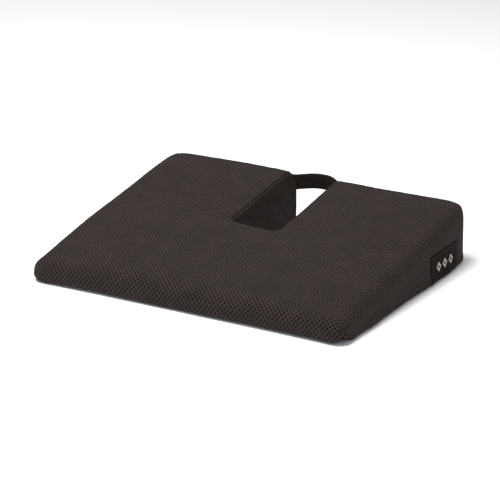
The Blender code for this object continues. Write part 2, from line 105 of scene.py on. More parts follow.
# Fineness of the sewn shell: next to seams, and away from them.
NEAR_STEP = 1.3 * MM
FAR_STEP = 5.5 * MM
WALL_ROWS = 18

# Swelling, seams and settling. Seam depths go by the numbers of the two panels that a seam joins.
BLOW_FRAMES = 20
BLOW_PRESSURE = 4
BLOW_CAP = 7 * MM
SEAM_HOLD = 0.5
SEAM_DEPTHS = {(0, 2): 1.5 * MM, (0, 1): 0.45 * MM, (0, 3): 0.45 * MM}
OTHER_SEAM_DEPTH = 0.8 * MM
SEAM_REACH = 1.7 * MM
FOAM_INSET = 3.4 * MM
LEFT_FULLNESS = 3.5 * MM
LEFT_DROOP = 2.5 * MM
FRONT_DROOP = 6 * MM
CORNER_DROOP = 9 * MM
LIP_FORWARD = 1.6 * MM
LOBE_BULGE = 5 * MM
SKIRT_SPREAD = 3 * MM
SEAM_WAVES = 1.8 * MM
UNEVENNESS = 1.1 * MM
ZIP_REACH = 200 * MM

# The net of the mesh, and how much of its coarse holes shows on the top behind the nose, where a finer knit
# mixes in; on the nose they show in full, as more painted shade.
MESH_PITCH_ACROSS = 6.2 * MM
MESH_PITCH_ALONG = 5.8 * MM
NOSE_CLOTH = 52 * MM
FLAT_TOP_COARSE_SHARE = 0.95

# Thickness of the cover's cloth, in a panel and at its seams, the grip dots, and the two foams.
CLOTH_THICKNESS = 2.4 * MM
SEAM_THICKNESS = 1.3 * MM
DOT_PITCH = 6 * MM
TOPPER_THICKNESS = 20 * MM
FOAM_OFF_FLOOR = 2.8 * MM
FOAM_OFF_ZIP = 6.5 * MM

# Handle, label and zip. The label sits a little further forward than its plain solid and is
# shorter, and a tooth's outline is (toward the other row, along the row), in millimetres.
WEBBING_THICKNESS = 1.8 * MM
STITCH_LENGTH = 3.1 * MM
THREAD_RADIUS = 0.33 * MM
LABEL_FORWARD = 5 * MM
LABEL_SHORTER = 12 * MM
LOZENGE_PITCH = 18 * MM
TAPE_THICKNESS = 0.6 * MM
TAPE_BEHIND_COIL = 1.6 * MM
TOOTH_PITCH = 1.5 * MM
TOOTH_OUTLINE = ((-1.05, -0.30), (0.75, -0.34), (1.15, -0.52), (1.15, 0.52), (0.75, 0.34), (-1.05, 0.30))
UP = Vector((0, 0, 1))
SIDES = (-1, "left"), (1, "right")


# ---------------------------------------------------------------- small tools

def linear(hex_colour):
    """An sRGB hex colour such as 3a3432 as linear RGBA."""
    out = []
    for k in (0, 2, 4):
        v = int(hex_colour[k:k + 2], 16) / 255
        out.append(v / 12.92 if v <= 0.04045 else ((v + 0.055) / 1.055) ** 2.4)
    return (*out, 1)


def add_node(tree, kind, settings=None, **links):
    """Add a shader node. settings are its properties, links its inputs by name or number: a value,
    a socket, or a node, which stands for its first output."""
    made = tree.nodes.new("ShaderNode" + kind)
    for key, value in (settings or {}).items():
        setattr(made, key, value)
    for key, value in links.items():
        name = key.replace("_", " ") if not key[1:].isdigit() else int(key[1:])
        socket = made.inputs[name]
        if isinstance(value, bpy.types.Node):
            value = value.outputs[0]
        if isinstance(value, bpy.types.NodeSocket):
            tree.links.new(value, socket)
        else:
            socket.default_value = value
    return made


def new_object(name, points, faces, uvs=None):
    """A mesh object; uvs are cloth coordinates, in metres, for each corner of each face."""
    mesh = bpy.data.meshes.new(name)
    mesh.from_pydata([tuple(p) for p in points], [], faces)
    if uvs is not None:
        layer = mesh.uv_layers.new(name="cloth")
        layer.data.foreach_set("uv", np.asarray(uvs, np.float32).ravel())
    mesh.validate()
    mesh.update()
    made = bpy.data.objects.new(name, mesh)
    bpy.context.scene.collection.objects.link(made)
    return made


def read(items, key, kind=np.int32, width=1):
    """A value, or a row of values, of each vertex, edge, face or corner of a mesh."""
    out = np.empty(len(items) * width, kind)
    items.foreach_get(key, out)
    return out.reshape(-1, width) if width > 1 else out


def coordinates(mesh):
    """A mesh's points as an array with a row for each."""
    return read(mesh.vertices, "co", np.float32, 3).astype(float)


def place(obj, body, surface, stands_for=()):
    """Give a piece its material, its body and the solids that it stands for."""
    obj.data.materials.clear()
    obj.data.materials.append(surface)
    for polygon in obj.data.polygons:
        polygon.material_index = 0
    obj.data.shade_smooth()
    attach(obj, body)
    if stands_for:
        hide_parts(*stands_for)


def applied(obj):
    """The object's evaluated mesh, in place of its mesh and modifiers."""
    graph = bpy.context.evaluated_depsgraph_get()
    mesh = bpy.data.meshes.new_from_object(obj.evaluated_get(graph))
    obj.modifiers.clear()
    obj.data = mesh


def fillet(distance, radius):
    """How far a round edge has fallen away at this distance from its sharp edge."""
    inside = np.clip(radius - np.asarray(distance, float), 0, radius)
    return radius - np.sqrt(radius ** 2 - inside ** 2)


def graded(low, high):
    """Places from low to high, close together near both ends."""
    steps = [0]
    step = NEAR_STEP
    while steps[-1] + step < (high - low) / 2:
        steps.append(steps[-1] + step)
        step = min(step * 1.35, FAR_STEP)
    scale = (high - low) / 2 / steps[-1] if steps[-1] else 1
    half = [s * scale for s in steps]
    return [low + s for s in half] + [high - s for s in half[::-1]][1:]


# ---------------------------------------------------------------- sewn shell, laid flat

def side_profile():
    """The side view from the rear top edge, over the nose, to the front zip seam, as (y, z)."""
    inset = START_INSET
    corners = [
        Vector((REAR_Y - inset, REAR_HEIGHT - inset)), Vector((FRONT_Y + inset, FRONT_HEIGHT - inset)),
        Vector((FRONT_Y + inset, UNDERCUT_HEIGHT)), Vector((tape_front_low.y, tape_front_high.z)),
    ]
    points = [corners[0]]
    for k, radius in ((1, NOSE_TOP_ROUND), (2, NOSE_BOTTOM_ROUND)):
        here = corners[k]
        back = (corners[k - 1] - here)
        on = (corners[k + 1] - here)
        angle = back.angle(on)
        reach = min(radius / tan(angle / 2), 0.48 * back.length, 0.6 * on.length)
        radius = reach * tan(angle / 2)
        centre = here + (back.normalized() + on.normalized()).normalized() * (radius / sin(angle / 2))
        first = here + back.normalized() * reach - centre
        sweep = first.angle_signed(here + on.normalized() * reach - centre)
        for step in range(9):
            points.append(centre + Matrix.Rotation(-sweep * step / 8, 2) @ first)
    points.append(corners[3])
    return np.array([tuple(p) for p in points])


PROFILE = side_profile()
PROFILE_LENGTHS = np.concatenate([[0], np.cumsum(np.hypot(*np.diff(PROFILE, axis=0).T))])
SHEET_LENGTH = PROFILE_LENGTHS[-1]


def on_profile(s):
    """Point and outward normal of the side profile at the cloth length s from the rear edge."""
    y = np.interp(s, PROFILE_LENGTHS, PROFILE[:, 0])
    z = np.interp(s, PROFILE_LENGTHS, PROFILE[:, 1])
    ahead, behind = np.clip(s + 1 * MM, 0, SHEET_LENGTH), np.clip(s - 1 * MM, 0, SHEET_LENGTH)
    run_y, run_z = (np.interp(ahead, PROFILE_LENGTHS, PROFILE[:, k])
                    - np.interp(behind, PROFILE_LENGTHS, PROFILE[:, k]) for k in (0, 1))
    length = np.hypot(run_y, run_z)
    return y, z, run_z / length, -run_y / length


def neighbour_sum(grid):
    """For each place of a grid, the sum of the values beside it in its row and its column."""
    wide = np.pad(grid, ((1, 1), (1, 1), (0, 0)))
    return wide[2:, 1:-1] + wide[:-2, 1:-1] + wide[1:-1, 2:] + wide[1:-1, :-2]


class Sheet:
    """The U-shaped top cloth as a grid of rows and columns, with the order of its edge."""

    def __init__(self):
        slope = (REAR_Y - FRONT_Y) / hypot(REAR_Y - FRONT_Y, REAR_HEIGHT - FRONT_HEIGHT)
        self.cut_s = (REAR_Y - CUTOUT_END) / slope
        outer, cut = OUTER_ROUND * SEAM_SHARE, CUTOUT_ROUND * SEAM_SHARE
        half = HALF_WIDTH - START_INSET - outer
        self.half_cut = HALF_CUTOUT + START_INSET * 0.4 + cut
        columns = [graded(-half, -self.half_cut), graded(-self.half_cut, self.half_cut),
                   graded(self.half_cut, half)]
        rows = [graded(outer, self.cut_s + cut), graded(self.cut_s + cut, SHEET_LENGTH)]
        self.x = np.array(columns[0] + columns[1][1:] + columns[2][1:])
        self.s = np.array(rows[0] + rows[1][1:])
        self.left = len(columns[0]) - 1
        self.right = self.left + len(columns[1]) - 1
        self.cut_row = len(rows[0]) - 1
        nx, ns = len(self.x), len(self.s)
        self.kept = np.ones((nx, ns), bool)
        self.kept[self.left + 1:self.right, :self.cut_row] = False
        self.flat = np.stack(np.meshgrid(self.x, self.s, indexing="ij"), -1)
        self.edge = self.edge_order(nx - 1, ns - 1)
        self.at_edge = tuple(np.transpose(self.edge))
        self.normals = np.zeros((len(self.edge), 2))
        self.round_plan(half, outer)

    def edge_order(self, last_x, last_s):
        """Edge vertices from the front right corner, round the U, to the front left corner."""
        edge = [(last_x, j) for j in range(last_s, 0, -1)]
        edge += [(i, 0) for i in range(last_x, self.right, -1)]
        edge += [(self.right, j) for j in range(0, self.cut_row)]
        edge += [(i, self.cut_row) for i in range(self.right, self.left, -1)]
        edge += [(self.left, j) for j in range(self.cut_row, 0, -1)]
        edge += [(i, 0) for i in range(self.left, 0, -1)]
        edge += [(0, j) for j in range(0, last_s + 1)]
        return edge

    def round_plan(self, half, rear):
        """Move edge vertices on to round plan corners, and ease the inner ones after them."""
        corners = []
        for side in (-1, 1):
            outer, cut = REAR_CORNER - rear, CUTOUT_CORNER + self.half_cut - HALF_CUTOUT
            end = self.flat[0, self.cut_row, 1]
            corners.append((side * half, rear, outer, -side, 1, 1))
            corners.append((side * self.half_cut, rear, LOBE_CORNER, side, 1, 1))
            corners.append((side * self.half_cut, end, cut, -side, -1, -1))
        moved = self.flat.copy()
        tiny = 1e-7
        for k, (i, j) in enumerate(self.edge):
            x, s = self.flat[i, j]
            across = abs(abs(x) - half) < tiny
            inner = abs(abs(x) - self.half_cut) < tiny and j <= self.cut_row
            self.normals[k] = (np.sign(x), 0) if across else (-np.sign(x), 0) if inner else (0, 1)
            for cx, cs, radius, way_x, way_s, bulge in corners:
                t_x, t_s = (x - cx) * way_x, (s - cs) * way_s
                on_x = abs(t_s) < tiny and -tiny <= t_x <= radius
                on_s = abs(t_x) < tiny and -tiny <= t_s <= radius
                if not (on_x or on_s):
                    continue
                turn = pi / 4 * (1 - (t_x if on_x else t_s) / radius)
                a, b = (sin(turn), cos(turn)) if on_x else (cos(turn), sin(turn))
                out = np.array([-way_x * a, -way_s * b])
                moved[i, j] = (cx + way_x * radius + radius * out[0], cs + way_s * radius + radius * out[1])
                self.normals[k] = out[0] * bulge, -out[1] * bulge
        self.flat = self.flat + self.eased(moved - self.flat)

    def eased(self, shift, rounds=60):
        """Spread shifts of the edge vertices into the sheet, dying away from the edge."""
        held = np.zeros(self.kept.shape, bool)
        held[self.at_edge] = True
        out = np.where(held[..., None], shift, 0.0)
        weight = self.kept[..., None].astype(float)
        count = np.maximum(neighbour_sum(weight), 1)
        for _ in range(rounds):
            spread = 0.97 * neighbour_sum(out * weight) / count
            out = np.where(held[..., None], shift, np.where(weight > 0, spread, 0))
        return out

    def faces(self):
        """The sheet's quads, as rows of (column, row), without those in the cut-out."""
        nx, ns = self.kept.shape
        out = []
        for i in range(nx - 1):
            for j in range(ns - 1):
                if self.left <= i < self.right and j < self.cut_row:
                    continue
                out.append(((i, j), (i, j + 1), (i + 1, j + 1), (i + 1, j)))
        return out


def outline_distances(x, s, rear_corner):
    """Distances inward from the outer outline and from the cut-out, in cloth coordinates."""
    dx, ds = HALF_WIDTH - START_INSET - np.abs(x), s
    in_corner = (dx < rear_corner) & (ds < rear_corner)
    round_off = rear_corner - np.hypot(rear_corner - dx, rear_corner - ds)
    outer = np.where(in_corner, round_off, np.minimum(dx, ds))
    ax = np.abs(x) - HALF_CUTOUT - START_INSET * 0.4 + CUTOUT_CORNER
    bs = s - SHEET.cut_s + CUTOUT_CORNER
    cut = np.where((ax > 0) & (bs > 0), np.hypot(ax, bs), np.maximum(ax, bs)) - CUTOUT_CORNER
    return np.maximum(outer, 0), np.maximum(cut, 0)


SHEET = Sheet()


def edge_radii():
    """Rounding of the top edge at each edge vertex: wide outside, tight round the cut-out."""
    x, s = SHEET.flat[SHEET.at_edge].T
    inside = (np.abs(x) < SHEET.half_cut + LOBE_CORNER) & (s < SHEET.cut_s + 10 * MM)
    blend = np.where(inside, np.clip((s - 4 * MM) / (10 * MM), 0, 1), 0)
    return OUTER_ROUND + (CUTOUT_ROUND - OUTER_ROUND) * blend


def top_points():
    """The top cloth in space: over the wedge, round the nose, falling away at its edges."""
    x, s = SHEET.flat[..., 0], SHEET.flat[..., 1]
    y, z, out_y, out_z = on_profile(s)
    outer, cut = outline_distances(x, s, REAR_CORNER)
    drop = fillet(outer, OUTER_ROUND) + fillet(cut, CUTOUT_ROUND)
    return np.stack([x, y - out_y * drop, z - out_z * drop], -1)


def bottom_y(s):
    """Where a row of the top cloth comes down on the underside's edge."""
    y = on_profile(s)[0]
    start = tape_rear_high.y + 22 * MM
    s_start = np.interp(-start, -PROFILE[:2, 0], PROFILE_LENGTHS[:2])
    share = np.clip((s - s_start) / (SHEET_LENGTH - s_start), 0, 1)
    return np.where(s > s_start, start + (tape_rear_high.y - start) * share, y)


def wall_points(top):
    """The upright cloth as rows from the top seam to the bottom seam, and their lengths."""
    radii = edge_radii()
    seam = top[SHEET.at_edge]
    normals = np.concatenate([SHEET.normals, np.zeros((len(seam), 1))], 1)
    cloth = SHEET.flat[SHEET.at_edge]
    top_out = seam + normals * (radii * SEAM_SHARE)[:, None]
    foot = top_out.copy()
    on_side = np.abs(normals[:, 0]) > 0.999
    on_side &= np.abs(cloth[:, 0]) > HALF_CUTOUT + 40 * MM
    foot[on_side, 1] = bottom_y(cloth[on_side, 1])
    bottom_inset = BOTTOM_ROUND * SEAM_SHARE
    foot[:, 2] = bottom_inset + foot_lift(foot)
    at_zip = np.clip((cloth[:, 1] - SHEET_LENGTH + 12 * MM) / (12 * MM), 0, 1) * on_side
    foot[:, 2] += (tape_rear_low.z + 0.5 * MM - foot[:, 2]) * at_zip
    span = np.linalg.norm(foot - top_out, axis=1)
    turn = np.cos(pi * np.linspace(0, 1, WALL_ROWS + 1))
    share = 0.5 - 0.5 * turn * (0.78 + 0.22 * np.abs(turn))
    rows = []
    for t in share:
        a = t * span
        inset = fillet(radii * SEAM_SHARE + a, radii) + fillet(bottom_inset + span - a, BOTTOM_ROUND)
        spare = (1 - t) * fillet(bottom_inset + span, BOTTOM_ROUND)
        spare += t * fillet(radii * SEAM_SHARE + span, radii)
        rows.append(top_out + (foot - top_out) * t - normals * (inset - spare)[:, None])
    rows[0] = seam
    return np.array(rows), share[:, None] * span[None, :]


def foot_lift(foot):
    """Slow waves that lift the bottom seam a little off the floor between the corners."""
    waves = [noise.noise(Vector((x * 14, y * 14, 3.1))) for x, y, _ in foot]
    return SEAM_WAVES * np.maximum(0, np.array(waves) + 0.1)


def bottom_points(seam):
    """The underside cloth: flat on the floor, turned up at its edge to meet the bottom seam."""
    flat = SHEET.flat.copy()
    flat[..., 1] = bottom_y(SHEET.flat[..., 1])
    shift = np.zeros_like(flat)
    shift[SHEET.at_edge] = seam[:, :2] - flat[SHEET.at_edge]
    flat = flat + SHEET.eased(shift)
    outer, cut = outline_distances(SHEET.flat[..., 0], SHEET.flat[..., 1], REAR_CORNER)
    z = fillet(outer, BOTTOM_ROUND) + fillet(cut, BOTTOM_ROUND)
    out = np.concatenate([flat, z[..., None]], -1)
    lift = np.zeros_like(out)
    lift[SHEET.at_edge] = seam - out[SHEET.at_edge]
    return out + SHEET.eased(lift, 6)


# ---------------------------------------------------------------- sewn shell, as one mesh

PANELS = ("cover_top_panel", "cover_side_band_right", "cover_cutout_boxing",
          "cover_side_band_left", "cover_bottom_panel")


def panel_of_column(k):
    """The upright panel that holds the wall column after edge vertex k."""
    i, j = SHEET.edge[k]
    after = SHEET.edge[k + 1]
    if i == SHEET.kept.shape[0] - 1 or (j == 0 and after[1] == 0 and i > SHEET.right):
        return 1
    if i == 0 or (j == 0 and after[1] == 0 and after[0] < SHEET.left):
        return 3
    return 2


def shell_mesh():
    """Points, faces, panel of each face, cloth coordinates of each face corner, and how firmly
    each point is held while the cloth swells."""
    kept, edge = SHEET.kept, SHEET.at_edge
    top = top_points()
    rows, heights = wall_points(top)
    bottom = bottom_points(rows[-1])
    inner = kept.copy()
    inner[edge] = False
    points = np.concatenate([top[kept], rows[1:].reshape(-1, 3), bottom[inner]])
    number = np.arange(len(points))
    top_number, bottom_number = np.zeros((2, *kept.shape), int)
    top_number[kept] = number[:kept.sum()]
    wall_number = np.zeros(rows.shape[:2], int)
    wall_number[0] = top_number[edge]
    wall_number[1:] = number[kept.sum():-inner.sum()].reshape(-1, len(SHEET.edge))
    bottom_number[inner] = number[-inner.sum():]
    bottom_number[edge] = wall_number[-1]

    faces, panels, uvs = [], [], []
    for face in SHEET.faces():
        for numbers, corners, panel in ((top_number, face, 0), (bottom_number, face[::-1], 4)):
            faces.append([int(numbers[c]) for c in corners])
            uvs += [SHEET.flat[c] for c in corners]
            panels.append(panel)
    outline = rows[len(rows) // 2]
    along = np.concatenate([[0], np.cumsum(np.linalg.norm(np.diff(outline, axis=0), axis=1))])
    for r in range(len(rows) - 1):
        for k in range(len(SHEET.edge) - 1):
            quad = ((r, k), (r + 1, k), (r + 1, k + 1), (r, k + 1))
            faces.append([int(wall_number[c]) for c in quad])
            uvs += [(along[c[1]], heights[c]) for c in quad]
            panels.append(panel_of_column(k))
    grips = np.zeros(len(points))
    grips[wall_number[0]] = SEAM_HOLD
    grips[top_number[:, -1]] = 1
    grips[bottom_number[kept]] = 1
    return points, faces, panels, uvs, grips


def blow_up(obj, grips):
    """Let the sewn cloth swell under pressure from its core, within a cap."""
    before = coordinates(obj.data)
    group = obj.vertex_groups.new(name="held")
    for v in np.flatnonzero(grips):
        group.add([int(v)], grips[v], "REPLACE")
    cloth = obj.modifiers.new("swell", "CLOTH")
    settings = cloth.settings
    settings.quality = 4
    settings.mass = 0.4
    settings.tension_stiffness = 25
    settings.compression_stiffness = 25
    settings.bending_stiffness = 3
    settings.use_pressure = True
    settings.uniform_pressure_force = BLOW_PRESSURE
    settings.effector_weights.gravity = 0
    settings.vertex_group_mass = "held"
    cloth.point_cache.frame_start = 1
    cloth.point_cache.frame_end = BLOW_FRAMES
    scene = bpy.context.scene
    for step in range(1, BLOW_FRAMES + 1):
        scene.frame_set(step)
    graph = bpy.context.evaluated_depsgraph_get()
    blown = obj.evaluated_get(graph).to_mesh()
    after = coordinates(blown)
    obj.evaluated_get(graph).to_mesh_clear()
    obj.modifiers.clear()
    obj.vertex_groups.clear()
    scene.frame_set(1)
    shift = evened(after - before, before, obj.data)
    length = np.linalg.norm(shift, axis=1, keepdims=True)
    shift *= BLOW_CAP * np.tanh(length / BLOW_CAP) / np.maximum(length, 1e-9)
    obj.data.vertices.foreach_set("co", (before + shift).astype(np.float32).ravel())
    obj.data.update()


def evened(shift, points, mesh, rounds=150):
    """Average a movement over neighbouring points, so that no crease follows the rows of the mesh."""
    a, b = read(mesh.edges, "vertices", width=2).T
    weight = 1 / (np.linalg.norm(points[a] - points[b], axis=1) + 0.5 * MM)
    total_weight = np.bincount(a, weight, len(points)) + np.bincount(b, weight, len(points))
    for _ in range(rounds):
        total = np.stack([np.bincount(a, weight * shift[b, axis], len(points))
                          + np.bincount(b, weight * shift[a, axis], len(points)) for axis in range(3)], 1)
        shift = 0.5 * shift + 0.5 * total / total_weight[:, None]
    return shift


def smooth_step(value, start, end):
    """0 up to start, 1 past end, and an easy rise between them."""
    t = np.clip((value - start) / (end - start), 0, 1)
    return t * t * (3 - 2 * t)


def settled(points):
    """How an everyday cushion has settled: fuller at the left, its front lip drooping over the zip
    to the floor, its lobes bulging into the cut-out, and slow unevenness all over."""
    out = points.copy()
    x, y, z = points.T
    height = REAR_HEIGHT + (FRONT_HEIGHT - REAR_HEIGHT) * (REAR_Y - y) / (REAR_Y - FRONT_Y)
    rise = np.clip(z / height, 0, 1)
    fuller = smooth_step(x, 30 * MM, -60 * MM) * smooth_step(y, FRONT_Y + 40 * MM, FRONT_Y + 170 * MM)
    out[:, 2] += LEFT_FULLNESS * fuller * rise
    front_left = smooth_step(y, FRONT_Y + 90 * MM, FRONT_Y) * smooth_step(x, -120 * MM, -220 * MM)
    out[:, 2] -= LEFT_DROOP * front_left * rise
    low = np.clip(1 - z / (30 * MM), 0, 1) * smooth_step(z, 0, 6 * MM)
    front = smooth_step(y, FRONT_Y + 16 * MM, FRONT_Y + 6 * MM)
    corner = smooth_step(np.abs(x), ZIP_REACH - 20 * MM, HALF_WIDTH - 8 * MM)
    droop = FRONT_DROOP + (CORNER_DROOP - FRONT_DROOP) * corner
    out[:, 2] -= droop * low * front
    out[:, 1] -= LIP_FORWARD * low * front
    beside = smooth_step(np.abs(x), HALF_CUTOUT + 30 * MM, HALF_CUTOUT + 2 * MM)
    beside *= smooth_step(y, 30 * MM, REAR_Y - 10 * MM)
    out[:, 0] -= np.sign(x) * LOBE_BULGE * beside * smooth_step(rise, 1.0, 0.7)
    skirt = smooth_step(np.abs(x), HALF_WIDTH - 25 * MM, HALF_WIDTH) * smooth_step(rise, 0.5, 0.0)
    skirt *= smooth_step(y, FRONT_Y, FRONT_Y + 60 * MM)
    waves = np.array([noise.noise(Vector((0.3, p[1] * 26, 0.7 * np.sign(p[0])))) for p in points])
    out[:, 0] += np.sign(x) * SKIRT_SPREAD * skirt * (0.7 + 0.9 * waves)
    for k in range(len(out)):
        slow = noise.noise(Vector(points[k]) * 17 + Vector((5, 1, 2)))
        out[k, 2] += UNEVENNESS * slow * rise[k]
    return out


def calmed(points, mesh):
    """Smooth the skin round the four plan corners, where rows and columns of the mesh crowd."""
    for y, lowest, rounds in ((REAR_Y, 12 * MM, 12), (FRONT_Y + 18 * MM, 0, 5)):
        away = np.hypot(np.abs(points[:, 0]) - HALF_WIDTH, points[:, 1] - y)
        held = np.where(points[:, 2] < lowest, 1, smooth_step(away, 14 * MM, 30 * MM))[:, None]
        points = held * points + (1 - held) * evened(points, points, mesh, rounds)
    return points


def sewn_shell():
    """The whole outer skin after swelling and one subdivision, with its panels marked."""
    points, faces, panels, uvs, grips = shell_mesh()
    shell = new_object("shell", points, faces, uvs)
    for name in PANELS:
        shell.data.materials.append(bpy.data.materials.new(name))
    shell.data.polygons.foreach_set("material_index", panels)
    blow_up(shell, grips)
    settled_points = calmed(settled(coordinates(shell.data)), shell.data)
    shell.data.vertices.foreach_set("co", settled_points.astype(np.float32).ravel())
    smooth = shell.modifiers.new("smooth", "SUBSURF")
    smooth.levels = 1
    smooth.render_levels = 1
    smooth.uv_smooth = "PRESERVE_BOUNDARIES"
    applied(shell)
    return shell


def mesh_arrays(mesh):
    """Points, normals, quads, panel numbers and cloth coordinates of a mesh of quads."""
    points = coordinates(mesh)
    normals = np.array([v.normal for v in mesh.vertices])
    quads = read(mesh.loops, "vertex_index").reshape(-1, 4)
    panels = read(mesh.polygons, "material_index")
    uvs = read(mesh.uv_layers[0].data, "uv", np.float32, 2)
    return points, normals, quads, panels, uvs.reshape(-1, 4, 2)


def seam_dip(points, normals, quads, panels):
    """Pull the cloth in along every seam, with faint puckers beside it."""
    count = len(points)
    low, high = np.full(count, 99), np.full(count, -1)
    for column in range(4):
        np.minimum.at(low, quads[:, column], panels)
        np.maximum.at(high, quads[:, column], panels)
    on_seam = np.flatnonzero(low != high)
    edges = np.concatenate([quads[:, [k, (k + 1) % 4]] for k in range(4)])
    both = np.isin(edges[:, 0], on_seam) & np.isin(edges[:, 1], on_seam)
    a, b = points[edges[both, 0]], points[edges[both, 1]]
    seam = np.concatenate([a + (b - a) * t for t in (0, 0.25, 0.5, 0.75)])
    deep = {int(v): SEAM_DEPTHS.get((int(low[v]), int(high[v])), OTHER_SEAM_DEPTH) for v in on_seam}
    depths = [deep[int(v)] for v in edges[both, 0]] * 4
    tree = KDTree(len(seam))
    for k, p in enumerate(seam):
        tree.insert(p, k)
    tree.balance()
    reach = 16 * MM
    for k in range(count):
        near, found, distance = tree.find(points[k])
        if distance > reach:
            continue
        dip = depths[found] * np.exp(-(distance / SEAM_REACH) ** 2)
        pucker = noise.noise(near * 110) * np.exp(-((distance - 5 * MM) / (5 * MM)) ** 2)
        points[k] += normals[k] * (0.35 * MM * pucker - dip)
    return points, set(on_seam.tolist())


def panel_piece(name, number, arrays, seam):
    """One cloth panel cut out of the shell, as thick cloth closed round its rim."""
    points, normals, quads, panels, uvs = arrays
    chosen = np.flatnonzero(panels == number)
    own = quads[chosen]
    used, local = np.unique(own, return_inverse=True)
    local = local.reshape(-1, 4)
    outer = points[used]
    depth = np.array([SEAM_THICKNESS if v in seam else CLOTH_THICKNESS for v in used])
    inner = outer - normals[used] * depth[:, None]
    count = len(used)
    faces = [tuple(q) for q in local]
    corner_uvs = list(uvs[chosen].reshape(-1, 2))
    faces += [tuple(q[::-1] + count) for q in local]
    corner_uvs += list(uvs[chosen][:, ::-1].reshape(-1, 2))
    seen = {}
    for q, uv in zip(local, uvs[chosen]):
        for k in range(4):
            a, b = int(q[k]), int(q[(k + 1) % 4])
            if (b, a) in seen:
                del seen[b, a]
            else:
                seen[a, b] = (uv[k], uv[(k + 1) % 4])
    for (a, b), (uv_a, uv_b) in seen.items():
        faces.append((b, a, a + count, b + count))
        corner_uvs += [uv_b, uv_a, uv_a, uv_b]
    return new_object(name, np.concatenate([outer, inner]), faces, corner_uvs)


# ---------------------------------------------------------------- materials

# Settings of shader nodes that come up often.
ADD = {"operation": "ADD"}
SUBTRACT = {"operation": "SUBTRACT"}
MULTIPLY = {"operation": "MULTIPLY"}
MULTIPLY_ADD = {"operation": "MULTIPLY_ADD"}
COMPARE = {"operation": "COMPARE"}
SMOOTH = {"interpolation_type": "SMOOTHSTEP"}
TWO_COLOURS = {"data_type": "RGBA"}
FLAT = {"noise_dimensions": "2D"}
CLOTH = {"uv_map": "cloth"}


def principled(name, **values):
    """A material with a Principled shader; returns it, its node tree and the shader."""
    made = bpy.data.materials.new(name)
    made.use_nodes = True
    tree = made.node_tree
    shader = tree.nodes["Principled BSDF"]
    for key, value in values.items():
        shader.inputs[key.replace("_", " ")].default_value = value
    return made, tree, shader


def dyed(tree, shader, share, low, high, height, depth, strength):
    """Colour a material from its low to its high tone by share, and raise its surface by height."""
    colour = add_node(tree, "Mix", TWO_COLOURS, i0=share, i6=low, i7=high)
    tree.links.new(colour.outputs[2], shader.inputs["Base Color"])
    bump = add_node(tree, "Bump", Height=height, Distance=depth, Strength=strength)
    tree.links.new(bump.outputs["Normal"], shader.inputs["Normal"])


def ripple(tree, length, pitch, shape):
    """A wave from -1 to 1 along a length, with a crest every pitch: its shape is SINE or COSINE."""
    turn = add_node(tree, "Math", MULTIPLY, i0=length, i1=2 * pi / pitch)
    return add_node(tree, "Math", {"operation": shape}, i0=turn)


def spacer_mesh(name, yarn, full_holes_at=None):
    """Polyester spacer mesh, warp-knitted: a staggered net of small holes between matt yarns, with
    the black middle layer showing through, darkened to near black as painted shade in the holes. Past
    full_holes_at, a cloth length, round the front edge, the holes show in full, as more painted shade;
    before that a finer knit shows too."""
    made, tree, shader = principled(name, Roughness=0.85, Sheen_Weight=0.06, Sheen_Roughness=0.5,
                                    Specular_IOR_Level=0.12, Sheen_Tint=linear("b8aca6"))
    cloth = add_node(tree, "UVMap", CLOTH)
    stretch = add_node(tree, "TexNoise", FLAT, Vector=cloth, Scale=60.0, Detail=1.0)
    wander = add_node(tree, "VectorMath", MULTIPLY_ADD, i0=stretch.outputs["Color"],
                      i1=(1.2 * MM, 1.2 * MM, 0), i2=cloth)
    parts = add_node(tree, "SeparateXYZ", Vector=wander)
    across = add_node(tree, "Math", MULTIPLY, i0=parts.outputs["X"], i1=2 * pi / MESH_PITCH_ACROSS)
    along = add_node(tree, "Math", MULTIPLY, i0=parts.outputs["Y"], i1=2 * pi / MESH_PITCH_ALONG)
    nets = []
    for fineness, low, high in ((1.0, -0.1, 1.0), (2.0, -0.3, 1.2)):
        waves = []
        for way in (ADD, SUBTRACT):
            slant = add_node(tree, "Math", way, i0=across, i1=along)
            waves.append(ripple(tree, slant, 2 * pi / fineness, "COSINE"))
        both = add_node(tree, "Math", ADD, i0=waves[0], i1=waves[1])
        nets.append(add_node(tree, "MapRange", SMOOTH, Value=both, From_Min=low, From_Max=high))
    hole = nets[0]
    # Painted shade: on the nose the coarse holes show in full; behind it a finer knit mixes in and they are
    # a little weaker.
    if full_holes_at is not None:
        coarse_hole_share = add_node(tree, "MapRange", SMOOTH, Value=parts.outputs["Y"], From_Min=full_holes_at,
                          From_Max=full_holes_at + 22 * MM, To_Min=FLAT_TOP_COARSE_SHARE, To_Max=1.0)
        hole = add_node(tree, "Mix", {"data_type": "FLOAT"}, i0=coarse_hole_share, i2=nets[1], i3=nets[0])
    blotch = add_node(tree, "TexNoise", FLAT, Vector=cloth, Scale=35.0, Detail=4.0, Roughness=0.6)
    wear = add_node(tree, "MapRange", SMOOTH, Value=blotch, From_Min=0.3, From_Max=0.7)
    fresh, rubbed = ((*(tone * c for c in linear(yarn)[:3]), 1) for tone in (0.9, 1.1))
    worn = add_node(tree, "Mix", TWO_COLOURS, i0=wear, i6=fresh, i7=rubbed)
    fuzz = add_node(tree, "TexNoise", FLAT, Vector=cloth, Scale=1400.0, Detail=2.0)
    nap = add_node(tree, "Math", MULTIPLY, i0=fuzz, i1=0.35)
    height = add_node(tree, "Math", SUBTRACT, i0=nap, i1=hole)
    # The holes are painted near black, 020101: the black middle layer, darkened further as painted shade in
    # the holes.
    dyed(tree, shader, hole, worn.outputs[2], linear("020101"), height, 1.0 * MM, 0.9)
    return made


